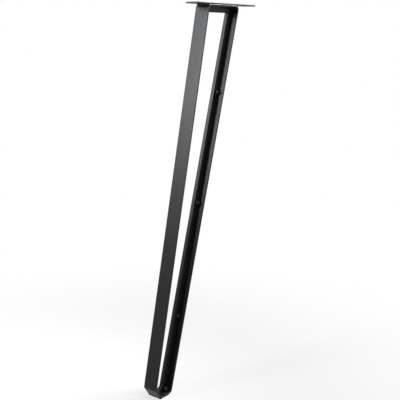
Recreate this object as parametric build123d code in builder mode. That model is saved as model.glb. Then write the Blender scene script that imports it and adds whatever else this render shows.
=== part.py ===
from build123d import *
import math
import os

# Splayed steel table leg: a loop of flat bar with a web ring inside it, so that its section is a T,
# welded under a narrow screw-on plate. The origin is the centre of the plate's top face, +Z is up,
# X runs along the plate and Y across it. Rear is the side that the foot kicks out to. Millimetres.

# Overall, from the table's underside to the floor
leg_height = 715.0

# Screw-on plate, cut from the same width of flat bar as the loop
plate_length = 177.0
plate_thick = 3.0
plate_corner_radius = 2.0
plate_edge_round = 0.8
hole_diameter = 5.5
hole_end_distance = 12.0
hole_row_spacing = 15.0

# Bent flat-bar loop
bar_width = 30.0
bar_thick = 3.0
bar_edge_round = 0.8
loop_top_width = 93.3
loop_top_shift = -11.7
shoulder_bend_radius = 8.0

# Foot of the loop, outer sizes: a toe bend in front, and a slanted run up to the knee at the rear
foot_length = 31.7
foot_shift = -177.8
knee_height = 19.2
knee_reach = 12.8
toe_bend_radius = 8.0
heel_bend_radius = 4.0
knee_bend_radius = 6.0

# Web ring standing on the inside of the bar
web_thick = 4.0
web_side_width = 12.5
web_head_width = 11.0
web_sole_width = 7.0
web_head_radius = 3.0
web_foot_radius = 4.0

# Glide under the foot
glide_length = 24.7
glide_shift = -181.3
glide_thick = 1.0
glide_corner_radius = 1.0

# Heights and reaches that follow from the sizes above
bar_top = -plate_thick
bar_bottom = glide_thick - leg_height
loop_rear = loop_top_shift - loop_top_width / 2
loop_front = loop_top_shift + loop_top_width / 2

# Corners of the loop's outer outline, in the plane of the leg, with the radius of each bend
head_rear = (loop_rear, bar_top)
head_front = (loop_front, bar_top)
toe = (foot_shift + foot_length / 2, bar_bottom)
heel = (foot_shift - foot_length / 2, bar_bottom)
knee = (heel[0] - knee_reach, bar_bottom + knee_height)
loop_corners = (head_rear, head_front, toe, heel, knee)
bend_radii = (
    shoulder_bend_radius,
    shoulder_bend_radius,
    toe_bend_radius,
    heel_bend_radius,
    knee_bend_radius,
)


def place_on_run(upper, lower, height):
    """X of the straight run from upper to lower, or of its extension, at a height."""
    share = (height - upper[1]) / (lower[1] - upper[1])
    return upper[0] + share * (lower[0] - upper[0])


def level_reach(upper, lower, distance):
    """Level distance that lies this far, squarely, from the run from upper to lower."""
    run = math.hypot(upper[0] - lower[0], upper[1] - lower[1])
    return distance * run / (upper[1] - lower[1])


# The opening in the web keeps one distance from both uprights, and its own from the head and the sole
opening_top = bar_top - bar_thick - web_head_width
opening_bottom = bar_bottom + bar_thick + web_sole_width
rear_reach = level_reach(head_rear, knee, bar_thick + web_side_width)
front_reach = level_reach(head_front, toe, bar_thick + web_side_width)
opening_corners = (
    (place_on_run(head_rear, knee, opening_top) + rear_reach, opening_top),
    (place_on_run(head_front, toe, opening_top) - front_reach, opening_top),
    (place_on_run(head_front, toe, opening_bottom) - front_reach, opening_bottom),
    (place_on_run(head_rear, knee, opening_bottom) + rear_reach, opening_bottom),
)
opening_radii = (web_head_radius, web_head_radius, web_foot_radius, web_foot_radius)

os.makedirs("parts", exist_ok=True)

# Plate with four screw holes, a pair beyond each side of the loop
with BuildPart() as top_plate:
    with BuildSketch(Plane.XY.offset(-plate_thick)):
        RectangleRounded(plate_length, bar_width, plate_corner_radius)
        with GridLocations(plate_length - 2 * hole_end_distance, hole_row_spacing, 2, 2):
            Circle(hole_diameter / 2, mode=Mode.SUBTRACT)
    extrude(amount=plate_thick)
    plate_rims = top_plate.faces().filter_by(Axis.Z)
    fillet([face.outer_wire().edges() for face in plate_rims], radius=plate_edge_round)
top_plate.part.label = "top_plate"
export_step(top_plate.part, "parts/top_plate.step")

# Room inside the bent bar: its outline taken in by the bar's thickness, every bend about one centre
with BuildSketch(Plane.XZ) as bar_inside:
    with BuildLine():
        FilletPolyline(*loop_corners, radius=bend_radii, close=True)
    make_face()
    offset(amount=-bar_thick, mode=Mode.REPLACE)

# Flat bar bent round the whole outline, on edge to the plane of the leg
with BuildPart() as bar_loop:
    with BuildSketch(Plane.XZ):
        with BuildLine():
            FilletPolyline(*loop_corners, radius=bend_radii, close=True)
        make_face()
        add(bar_inside.sketch_local, mode=Mode.SUBTRACT)
    extrude(amount=bar_width / 2, both=True)
    bar_sides = bar_loop.faces().filter_by(Axis.Y)
    fillet(bar_sides.edges(), radius=bar_edge_round)
bar_loop.part.label = "bar_loop"
export_step(bar_loop.part, "parts/bar_loop.step")

# Web ring: sheet cut to the inside of the bar, with one long rounded opening
with BuildPart() as web_ring:
    with BuildSketch(Plane.XZ):
        add(bar_inside.sketch_local)
        with BuildLine():
            FilletPolyline(*opening_corners, radius=opening_radii, close=True)
        make_face(mode=Mode.SUBTRACT)
    extrude(amount=web_thick / 2, both=True)
web_ring.part.label = "web_ring"
export_step(web_ring.part, "parts/web_ring.step")

# Glide pad under the flat of the foot
with BuildPart() as foot_glide:
    with BuildSketch(Plane.XY.offset(-leg_height)):
        with Locations((glide_shift, 0)):
            RectangleRounded(glide_length, bar_width, glide_corner_radius)
    extrude(amount=glide_thick)
foot_glide.part.label = "foot_glide"
export_step(foot_glide.part, "parts/foot_glide.step")
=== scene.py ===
# %% [markdown]
# # A splayed steel table leg
# The leg is a loop of flat bar with a web standing inside it, welded under a narrow plate. The
# solids come from CAD, already in metres and in place, so Blender's work here is the finish: the
# powder coat, the welds, the light and the picture. The CAD box is kept: it sets the floor and aims
# the overhead lamp.

# %% Load the leg
import math

import bpy
from mathutils import Matrix, Vector


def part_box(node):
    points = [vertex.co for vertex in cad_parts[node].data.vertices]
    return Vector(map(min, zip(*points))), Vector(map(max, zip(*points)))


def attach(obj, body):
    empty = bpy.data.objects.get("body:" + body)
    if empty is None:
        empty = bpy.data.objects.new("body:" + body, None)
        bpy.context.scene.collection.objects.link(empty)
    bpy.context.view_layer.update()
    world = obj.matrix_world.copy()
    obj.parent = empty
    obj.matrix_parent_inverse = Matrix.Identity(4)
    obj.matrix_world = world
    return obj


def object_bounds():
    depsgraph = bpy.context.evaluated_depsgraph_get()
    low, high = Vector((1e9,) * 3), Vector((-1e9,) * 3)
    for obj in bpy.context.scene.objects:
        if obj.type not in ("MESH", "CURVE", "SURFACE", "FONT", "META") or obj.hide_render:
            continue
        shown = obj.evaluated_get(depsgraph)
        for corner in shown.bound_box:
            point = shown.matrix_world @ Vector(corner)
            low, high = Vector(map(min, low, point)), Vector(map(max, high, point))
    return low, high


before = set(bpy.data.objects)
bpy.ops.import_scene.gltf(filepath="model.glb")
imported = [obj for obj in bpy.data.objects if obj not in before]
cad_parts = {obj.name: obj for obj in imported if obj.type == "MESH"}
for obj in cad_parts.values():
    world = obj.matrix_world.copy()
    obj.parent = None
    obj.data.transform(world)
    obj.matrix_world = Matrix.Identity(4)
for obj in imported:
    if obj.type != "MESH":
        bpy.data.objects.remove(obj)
cad_low, cad_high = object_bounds()
floor_height = cad_low[2]
print("loaded", sorted(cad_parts), "floor at", round(floor_height, 4))

# %% [markdown]
# ## Camera
# The camera stands a little below the plate, on the side that the foot kicks out to, and looks down
# at the leg. A longish lens keeps the two uprights calm. Its place, tilt and lens were solved from
# the leg's edges. The tiny roll is turned about the camera's own axis, after the aim is set.

# %% Aim the camera
camera_place = (-1.10679, -0.81990, -0.05563)
camera_heading = math.radians(38.1055)
camera_dip = math.radians(12.9748)
camera_roll = math.radians(0.4932)
camera_lens = 64.80
film_width = 36.0

camera_data = bpy.data.cameras.new("photo_camera")
camera_data.sensor_width = film_width
camera_data.lens = camera_lens
camera = bpy.data.objects.new("photo_camera", camera_data)
bpy.context.scene.collection.objects.link(camera)
aim = Matrix.Rotation(camera_heading - math.pi / 2, 4, "Z")
aim = aim @ Matrix.Rotation(math.pi / 2 - camera_dip, 4, "X")
aim = aim @ Matrix.Rotation(camera_roll, 4, "Z")
camera.matrix_world = Matrix.Translation(camera_place) @ aim
bpy.context.scene.camera = camera
print("camera at", camera_place, "lens", camera_lens)

# %% [markdown]
# ## Powder coat
# Powder coat is baked paint: black, satin, with a faint orange peel that breaks up its reflections.
# A picture texture could show that, but it would need UVs on every solid. Two layers of noise on
# Object coordinates do it at true scale on any piece: one a few millimetres wide for the peel, and
# a finer one for the grain of the powder. A slow third noise shifts the gloss and the black a
# little.

# %% Helpers for node trees
noise_low, noise_high = 0.3, 0.7


def place_node(tree, kind, **settings):
    """Adds a node of this kind and gives it its settings."""
    node = tree.nodes.new(kind)
    for name, value in settings.items():
        setattr(node, name, value)
    return node


def calculate(tree, operation, *values):
    """A Math node on sockets or plain numbers. Returns its result."""
    node = place_node(tree, "ShaderNodeMath", operation=operation)
    for socket, value in zip(node.inputs, values):
        if isinstance(value, bpy.types.NodeSocket):
            tree.links.new(value, socket)
        else:
            socket.default_value = value
    return node.outputs["Value"]


def object_noise(tree, scale, detail, roughness=0.5):
    """Noise in the object's own metres: scale is about the number of blobs in a metre."""
    coordinates = place_node(tree, "ShaderNodeTexCoord")
    noise = place_node(tree, "ShaderNodeTexNoise")
    noise.inputs["Scale"].default_value = scale
    noise.inputs["Detail"].default_value = detail
    noise.inputs["Roughness"].default_value = roughness
    tree.links.new(coordinates.outputs["Object"], noise.inputs["Vector"])
    return noise.outputs["Fac"]


def spread(tree, value, low, high):
    """Maps the middle of a noise onto the range from low to high."""
    span = place_node(tree, "ShaderNodeMapRange")
    span.inputs["From Min"].default_value = noise_low
    span.inputs["From Max"].default_value = noise_high
    span.inputs["To Min"].default_value = low
    span.inputs["To Max"].default_value = high
    tree.links.new(value, span.inputs["Value"])
    return span.outputs["Result"]


def two_tone(tree, value, dark, light):
    """Blends two colours by the middle of a noise."""
    ramp = place_node(tree, "ShaderNodeValToRGB")
    ends = ((noise_low, dark), (noise_high, light))
    for element, (position, colour) in zip(ramp.color_ramp.elements, ends):
        element.position = position
        element.color = (*colour, 1.0)
    tree.links.new(value, ramp.inputs["Fac"])
    return ramp.outputs["Color"]


def bump(tree, height, depth, under=None):
    """A bump of this depth in metres, laid over another one where there is one."""
    node = place_node(tree, "ShaderNodeBump")
    node.inputs["Strength"].default_value = 1.0
    node.inputs["Distance"].default_value = depth
    tree.links.new(height, node.inputs["Height"])
    if under:
        tree.links.new(under, node.inputs["Normal"])
    return node.outputs["Normal"]


# %% Mix the powder coat
coat_dark, coat_light = (0.0145, 0.0149, 0.0162), (0.0175, 0.0180, 0.0195)
coat_gloss = 0.22
coat_gloss_tint = (0.95, 0.97, 1.0, 1.0)
coat_roughness = (0.38, 0.43)
peel_depth = 0.00004
grain_depth = 0.00001


def make_powder_coat():
    coat = bpy.data.materials.new("satin_black_powder_coat")
    coat.use_nodes = True
    tree = coat.node_tree
    link = tree.links.new
    shader = tree.nodes["Principled BSDF"]
    shader.inputs["Specular IOR Level"].default_value = coat_gloss
    shader.inputs["Specular Tint"].default_value = coat_gloss_tint
    cloud = object_noise(tree, scale=14.0, detail=3.0)
    peel = object_noise(tree, scale=420.0, detail=2.0)
    grain = object_noise(tree, scale=1900.0, detail=3.0, roughness=0.6)
    link(two_tone(tree, cloud, coat_dark, coat_light), shader.inputs["Base Color"])
    link(spread(tree, cloud, *coat_roughness), shader.inputs["Roughness"])
    peel_bump = bump(tree, peel, peel_depth)
    link(bump(tree, grain, grain_depth, peel_bump), shader.inputs["Normal"])
    return coat


powder_coat = make_powder_coat()
print("mixed", powder_coat.name, "from", len(powder_coat.node_tree.nodes), "nodes")

# %% [markdown]
# ## Glide
# The pad under the foot is dense black rubber, so it is duller than the paint and keeps fine dust.
# It gets the same kind of noise, with more roughness and a pebbled grain in place of the peel.

# %% Mix the rubber
rubber_dark, rubber_dusty = (0.010, 0.010, 0.010), (0.022, 0.0215, 0.021)
rubber_gloss = 0.2
rubber_roughness = (0.72, 0.88)
pebble_depth = 0.00006


def make_glide_rubber():
    rubber = bpy.data.materials.new("matt_black_rubber")
    rubber.use_nodes = True
    tree = rubber.node_tree
    link = tree.links.new
    shader = tree.nodes["Principled BSDF"]
    shader.inputs["Specular IOR Level"].default_value = rubber_gloss
    dust = object_noise(tree, scale=90.0, detail=5.0)
    pebble = object_noise(tree, scale=1400.0, detail=2.0)
    link(two_tone(tree, dust, rubber_dark, rubber_dusty), shader.inputs["Base Color"])
    link(spread(tree, dust, *rubber_roughness), shader.inputs["Roughness"])
    link(bump(tree, pebble, pebble_depth), shader.inputs["Normal"])
    return rubber


glide_rubber = make_glide_rubber()
print("mixed", glide_rubber.name, "from", len(glide_rubber.node_tree.nodes), "nodes")

# %% Coat the solids
finishes = {
    "top_plate": powder_coat,
    "bar_loop": powder_coat,
    "web_ring": powder_coat,
    "foot_glide": glide_rubber,
}
for name, finish in finishes.items():
    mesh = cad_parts[name].data
    for index in range(len(mesh.materials)):
        mesh.materials[index] = finish
    print(name, "wears", [material.name for material in mesh.materials])

# %% [markdown]
# ## Tack welds
# The web is held in the loop by short tacks in the corner where its face meets the bar, under the
# paint. Each tack is a small blob of metal, drawn out from the bar over the web, with ripples left
# by the torch. Geometry Nodes suit this: lines along the corners carry a few points, and one
# rippled blob goes on each point, its length varied from a fixed seed. The points are evenly
# spaced, apart from a small shift of the middle one, which sits a little above half way. The
# corners are measured on the CAD solids, so the tacks stay in them when the web or the bar changes.

# %% Places of the corner lines
tack_radius = 0.0038
tack_reach = 1.25
tack_off_bar, tack_off_web = 0.0047, 0.0022
tack_top, tack_low = -0.1619, -0.5723
tack_middle_shift = -0.0027
web_low, web_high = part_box("web_ring")


def reach_at(name, height):
    """Least and greatest X of a CAD solid at a height, from the edges that cross that level."""
    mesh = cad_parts[name].data
    crossings = []
    for edge in mesh.edges:
        start, end = (mesh.vertices[index].co for index in edge.vertices)
        if (start.z - height) * (end.z - height) < 0:
            share = (height - start.z) / (end.z - start.z)
            crossings.append(start.lerp(end, share).x)
    return min(crossings), max(crossings)


def corner_points(height, side, off_bar, off_web):
    """Rear and front point in the corners of web and bar at a height, set off both faces."""
    rear, front = reach_at("web_ring", height)
    across = side * (web_high.y + off_web)
    return (rear + off_bar, across, height), (front - off_bar, across, height)


corner_lines = []
for side in (-1, 1):
    ends = [corner_points(height, side, tack_off_bar, tack_off_web)
            for height in (tack_top, tack_low)]
    corner_lines += zip(*ends)
for line in corner_lines:
    print("corner line", [[round(value, 4) for value in point] for point in line])

# %% Tree that sets rippled tacks along lines
tack_counts = {"Tacks per line": 3, "Seed": 7, "Fineness": 5}
tack_sizes = {
    "Radius": tack_radius,
    "Stretch": 1.0,
    "Reach": 1.0,
    "Middle shift": 0.0,
    "Ripple depth": 0.00018,
    "Ripple width": 0.0011,
}
shortest, longest = 0.92, 1.08


def make_tack_tree():
    tree = bpy.data.node_groups.new("tacks_along_lines", "GeometryNodeTree")
    tree.is_modifier = True
    face = tree.interface
    face.new_socket("Geometry", in_out="INPUT", socket_type="NodeSocketGeometry")
    for kind, inputs in (("NodeSocketInt", tack_counts), ("NodeSocketFloat", tack_sizes)):
        for name, value in inputs.items():
            face.new_socket(name, in_out="INPUT", socket_type=kind).default_value = value
    face.new_socket("Finish", in_out="INPUT", socket_type="NodeSocketMaterial")
    face.new_socket("Geometry", in_out="OUTPUT", socket_type="NodeSocketGeometry")
    link = tree.links.new
    given = place_node(tree, "NodeGroupInput")
    made = place_node(tree, "NodeGroupOutput")
    # Points along each line, turned to it, with the middle shifted along the line
    curves = place_node(tree, "GeometryNodeMeshToCurve")
    link(given.outputs["Geometry"], curves.inputs["Mesh"])
    marked = place_node(tree, "GeometryNodeCaptureAttribute")
    marked.capture_items.new("FLOAT", "Share")
    link(curves.outputs["Curve"], marked.inputs["Geometry"])
    parameter = place_node(tree, "GeometryNodeSplineParameter")
    link(parameter.outputs["Factor"], marked.inputs["Share"])
    points = place_node(tree, "GeometryNodeCurveToPoints", mode="COUNT")
    link(marked.outputs["Geometry"], points.inputs["Curve"])
    link(given.outputs["Tacks per line"], points.inputs["Count"])
    arch = calculate(tree, "SINE", calculate(tree, "MULTIPLY", marked.outputs["Share"], math.pi))
    shift = place_node(tree, "ShaderNodeVectorMath", operation="SCALE")
    link(points.outputs["Tangent"], shift.inputs["Vector"])
    link(calculate(tree, "MULTIPLY", arch, given.outputs["Middle shift"]), shift.inputs["Scale"])
    shifted = place_node(tree, "GeometryNodeSetPosition")
    link(points.outputs["Points"], shifted.inputs["Geometry"])
    link(shift.outputs["Vector"], shifted.inputs["Offset"])
    # One blob: a ball with ripples across the line
    ball = place_node(tree, "GeometryNodeMeshIcoSphere")
    link(given.outputs["Fineness"], ball.inputs["Subdivisions"])
    link(given.outputs["Radius"], ball.inputs["Radius"])
    position = place_node(tree, "GeometryNodeInputPosition")
    axes = place_node(tree, "ShaderNodeSeparateXYZ")
    link(position.outputs["Position"], axes.inputs["Vector"])
    turns = calculate(tree, "DIVIDE", axes.outputs["Z"], given.outputs["Ripple width"])
    wave = calculate(tree, "SINE", calculate(tree, "MULTIPLY", turns, 2 * math.pi))
    normal = place_node(tree, "GeometryNodeInputNormal")
    push = place_node(tree, "ShaderNodeVectorMath", operation="SCALE")
    link(normal.outputs["Normal"], push.inputs["Vector"])
    link(calculate(tree, "MULTIPLY", wave, given.outputs["Ripple depth"]), push.inputs["Scale"])
    rippled = place_node(tree, "GeometryNodeSetPosition")
    link(ball.outputs["Mesh"], rippled.inputs["Geometry"])
    link(push.outputs["Vector"], rippled.inputs["Offset"])
    # Blobs on the points, each a little longer or shorter than the next (output 1 is the float)
    vary = place_node(tree, "FunctionNodeRandomValue", data_type="FLOAT")
    vary.inputs["Min"].default_value = shortest
    vary.inputs["Max"].default_value = longest
    link(given.outputs["Seed"], vary.inputs["Seed"])
    length = calculate(tree, "MULTIPLY", vary.outputs[1], given.outputs["Stretch"])
    size = place_node(tree, "ShaderNodeCombineXYZ")
    size.inputs["X"].default_value = 1.0
    link(given.outputs["Reach"], size.inputs["Y"])
    link(length, size.inputs["Z"])
    spread_out = place_node(tree, "GeometryNodeInstanceOnPoints")
    link(shifted.outputs["Geometry"], spread_out.inputs["Points"])
    link(rippled.outputs["Geometry"], spread_out.inputs["Instance"])
    link(points.outputs["Rotation"], spread_out.inputs["Rotation"])
    link(size.outputs["Vector"], spread_out.inputs["Scale"])
    # Real mesh, smooth and painted
    real = place_node(tree, "GeometryNodeRealizeInstances")
    smooth = place_node(tree, "GeometryNodeSetShadeSmooth")
    painted = place_node(tree, "GeometryNodeSetMaterial")
    link(spread_out.outputs["Instances"], real.inputs["Geometry"])
    link(real.outputs["Geometry"], smooth.inputs["Geometry"])
    link(smooth.outputs["Geometry"], painted.inputs["Geometry"])
    link(given.outputs["Finish"], painted.inputs["Material"])
    link(painted.outputs["Geometry"], made.inputs["Geometry"])
    return tree


tack_tree = make_tack_tree()
print("tree", tack_tree.name, "has", len(tack_tree.nodes), "nodes")


# %% Helpers that run a tree once and keep its mesh
def line_mesh(name, lines):
    """A mesh of bare edges, one for each pair of points."""
    mesh = bpy.data.meshes.new(name)
    places = [point for line in lines for point in line]
    mesh.from_pydata(places, [(2 * i, 2 * i + 1) for i in range(len(lines))], [])
    return mesh


def grow(name, mesh, tree, settings):
    """Runs the tree on the mesh and returns an object that holds the plain mesh it made."""
    piece = bpy.data.objects.new(name, mesh)
    bpy.context.scene.collection.objects.link(piece)
    modifier = piece.modifiers.new(tree.name, "NODES")
    modifier.node_group = tree
    for item in tree.interface.items_tree:
        if item.item_type == "SOCKET" and item.in_out == "INPUT" and item.name in settings:
            modifier[item.identifier] = settings[item.name]
    depsgraph = bpy.context.evaluated_depsgraph_get()
    made = bpy.data.meshes.new_from_object(piece.evaluated_get(depsgraph))
    piece.modifiers.remove(modifier)
    piece.data = made
    made.name = name
    return piece


# %% Weld the web in
tack_settings = {
    "Reach": tack_reach,
    "Middle shift": tack_middle_shift,
    "Finish": powder_coat,
}
web_tacks = grow("web_tacks", line_mesh("corner_lines", corner_lines), tack_tree, tack_settings)
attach(web_tacks, "root")
print("web_tacks has", len(web_tacks.data.polygons), "faces")

# %% Weld the web to the sole
sole_tack_radius = 0.0052
sole_set_off = 0.0034
sole_off_bar, sole_off_web = 0.0047, 0.0025
sole_height = web_low.z + sole_set_off
sole_lines = [corner_points(sole_height, side, sole_off_bar, sole_off_web)[::-1]
              for side in (-1, 1)]
sole_settings = {
    "Tacks per line": 2,
    "Seed": 11,
    "Radius": sole_tack_radius,
    "Finish": powder_coat,
}
sole_tacks = grow("sole_tacks", line_mesh("sole_lines", sole_lines), tack_tree, sole_settings)
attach(sole_tacks, "root")
print("sole_tacks has", len(sole_tacks.data.polygons), "faces")

# %% [markdown]
# ## Plate welds
# The loop hangs from the plate by two beads, one in each wedge where a shoulder bend leaves the
# plate's underside. A bead is a row of small puddles, each frozen over the edge of the one before.
# The tack tree makes that too: the same blob, pressed short, set close along a line across the bar.

# %% Weld the loop to the plate
bead_radius = 0.0016
bead_drop = 0.0011
bead_set_off = 0.00035
bead_end_gap = 0.0015
bead_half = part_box("bar_loop")[1].y - bead_end_gap
bead_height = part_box("top_plate")[0].z - bead_drop
rear_wedge, front_wedge = reach_at("bar_loop", bead_height)
bead_lines = []
for reach in (rear_wedge - bead_set_off, front_wedge + bead_set_off):
    bead_lines.append([(reach, -bead_half, bead_height), (reach, bead_half, bead_height)])
    print("bead at", round(reach, 4), "height", round(bead_height, 4))
bead_settings = {
    "Tacks per line": 22,
    "Seed": 3,
    "Fineness": 3,
    "Radius": bead_radius,
    "Stretch": 0.62,
    "Ripple depth": 0.0,
    "Finish": powder_coat,
}
plate_beads = grow("plate_beads", line_mesh("bead_lines", bead_lines), tack_tree, bead_settings)
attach(plate_beads, "root")
print("plate_beads has", len(plate_beads.data.polygons), "faces")

# %% [markdown]
# ## Floor and background
# The leg stands on a plain pale floor that runs out of sight into a white background. A lamp could
# burn both to white, but it would wash out the paint. Light Path does it gently: only rays from the
# camera and from reflections see the floor's own glow, and the floor's matt part keeps the shadow.

# %% Mix the floor paint
floor_grey = 0.80
seen_grey = 0.35
floor_glow = 0.74
fade_start, fade_end = 0.2, 0.8
foot_low, foot_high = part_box("foot_glide")
foot_middle = Vector(((foot_low.x + foot_high.x) / 2, 0.0, floor_height))


def ray_share(tree):
    """1 for rays that come from the camera, a reflection or glass, else 0."""
    path = place_node(tree, "ShaderNodeLightPath")
    seen = calculate(tree, "MAXIMUM", path.outputs["Is Camera Ray"], path.outputs["Is Glossy Ray"])
    return calculate(tree, "MAXIMUM", seen, path.outputs["Is Transmission Ray"])


def blend(tree, share, first, second):
    """A mix of two shaders, all of the second where the share is 1."""
    node = place_node(tree, "ShaderNodeMixShader")
    for socket, value in zip(node.inputs, (share, first, second)):
        tree.links.new(value, socket)
    return node.outputs["Shader"]


def make_floor_paint():
    paint = bpy.data.materials.new("pale_floor")
    paint.use_nodes = True
    tree = paint.node_tree
    link = tree.links.new
    tree.nodes.clear()
    matt = place_node(tree, "ShaderNodeBsdfDiffuse")
    matt.inputs["Color"].default_value = (floor_grey, floor_grey, floor_grey, 1.0)
    seen = place_node(tree, "ShaderNodeBsdfDiffuse")
    seen.inputs["Color"].default_value = (seen_grey, seen_grey, seen_grey, 1.0)
    glow = place_node(tree, "ShaderNodeEmission")
    glow.inputs["Strength"].default_value = floor_glow
    near = place_node(tree, "ShaderNodeAddShader")
    link(seen.outputs["BSDF"], near.inputs[0])
    link(glow.outputs["Emission"], near.inputs[1])
    # Further out the floor turns to plain white, so that it meets the background without a line
    coordinates = place_node(tree, "ShaderNodeTexCoord")
    centred = place_node(tree, "ShaderNodeMapping")
    centred.inputs["Location"].default_value = -foot_middle
    link(coordinates.outputs["Object"], centred.inputs["Vector"])
    distance = place_node(tree, "ShaderNodeVectorMath", operation="LENGTH")
    link(centred.outputs["Vector"], distance.inputs[0])
    fade = place_node(tree, "ShaderNodeMapRange", interpolation_type="SMOOTHSTEP")
    fade.inputs["From Min"].default_value = fade_start
    fade.inputs["From Max"].default_value = fade_end
    link(distance.outputs["Value"], fade.inputs["Value"])
    far = place_node(tree, "ShaderNodeEmission")
    far.inputs["Strength"].default_value = 1.0
    shown = blend(tree, fade.outputs["Result"], near.outputs["Shader"], far.outputs["Emission"])
    output = place_node(tree, "ShaderNodeOutputMaterial")
    link(blend(tree, ray_share(tree), matt.outputs["BSDF"], shown), output.inputs["Surface"])
    return paint


floor_paint = make_floor_paint()
print("mixed", floor_paint.name, "around the foot at", [round(value, 4) for value in foot_middle])

# %% Lay the floor
floor_half = 6.0
floor_corners = [(floor_half * x, floor_half * y, floor_height)
                 for x, y in ((-1, -1), (1, -1), (1, 1), (-1, 1))]
floor_mesh = bpy.data.meshes.new("floor")
floor_mesh.from_pydata(floor_corners, [], [(0, 1, 2, 3)])
floor_mesh.materials.append(floor_paint)
floor = bpy.data.objects.new("floor", floor_mesh)
bpy.context.scene.collection.objects.link(floor)
print("floor at", round(floor_height, 4))

# %% White world
room_light = 0.06
world = bpy.data.worlds.new("white_studio")
bpy.context.scene.world = world
world.use_nodes = True
sky = world.node_tree
sky.nodes.clear()
white = place_node(sky, "ShaderNodeBackground")
room = place_node(sky, "ShaderNodeBackground")
for background, strength in ((white, 1.0), (room, room_light)):
    background.inputs["Color"].default_value = (1.0, 1.0, 1.0, 1.0)
    background.inputs["Strength"].default_value = strength
sky_output = place_node(sky, "ShaderNodeOutputWorld")
sky_light = blend(sky, ray_share(sky), room.outputs["Background"], white.outputs["Background"])
sky.links.new(sky_light, sky_output.inputs["Surface"])
print("world", world.name, "room light", room_light)

# %% [markdown]
# ## Lamps
# A tall, narrow softbox stands behind the leg on its left. A wide one would fill the corners. From
# there the light slips past the web: the outer face and both strips of the far upright catch it,
# and the web and its corner stay black. A grid keeps the beam on the head, so it fades towards the
# foot. A small gridded softbox in front on the right lights the edge of the plate, high enough that
# the bar keeps the web under it dark. A lamp overhead lights the floor, where the leg leaves a soft
# shadow.


# %% Set the lamps
def softbox(name, place, target, width, height, watts, beam=180.0):
    """A rectangular lamp at a place, turned to face a target, with a grid that narrows its beam."""
    lamp = bpy.data.lights.new(name, "AREA")
    lamp.shape = "RECTANGLE"
    lamp.size = width
    lamp.size_y = height
    lamp.energy = watts
    lamp.spread = math.radians(beam)
    box = bpy.data.objects.new(name, lamp)
    bpy.context.scene.collection.objects.link(box)
    towards = Vector(target) - Vector(place)
    box.rotation_euler = towards.to_track_quat("-Z", "Y").to_euler()
    box.location = place


plate_middle = (0.0, 0.0, 0.0)
above_shoulder = (-0.06, 0.0, 0.08)
leg_middle = (cad_low + cad_high) / 2
softbox("left_softbox", (-0.97, 0.42, 0.28), above_shoulder,
        width=0.32, height=0.70, watts=3.2, beam=60.0)
softbox("right_softbox", (0.62, -0.36, 0.50), plate_middle,
        width=0.36, height=0.30, watts=3.2, beam=50.0)
softbox("overhead_softbox", (0.1, -0.2, 1.4), leg_middle,
        width=1.2, height=1.2, watts=16.0)

# %% [markdown]
# ## Picture settings
# The plain Standard view keeps a colour as it is written. Nothing added here may make the leg
# larger.

# %% Finish
bpy.context.scene.view_settings.view_transform = "Standard"
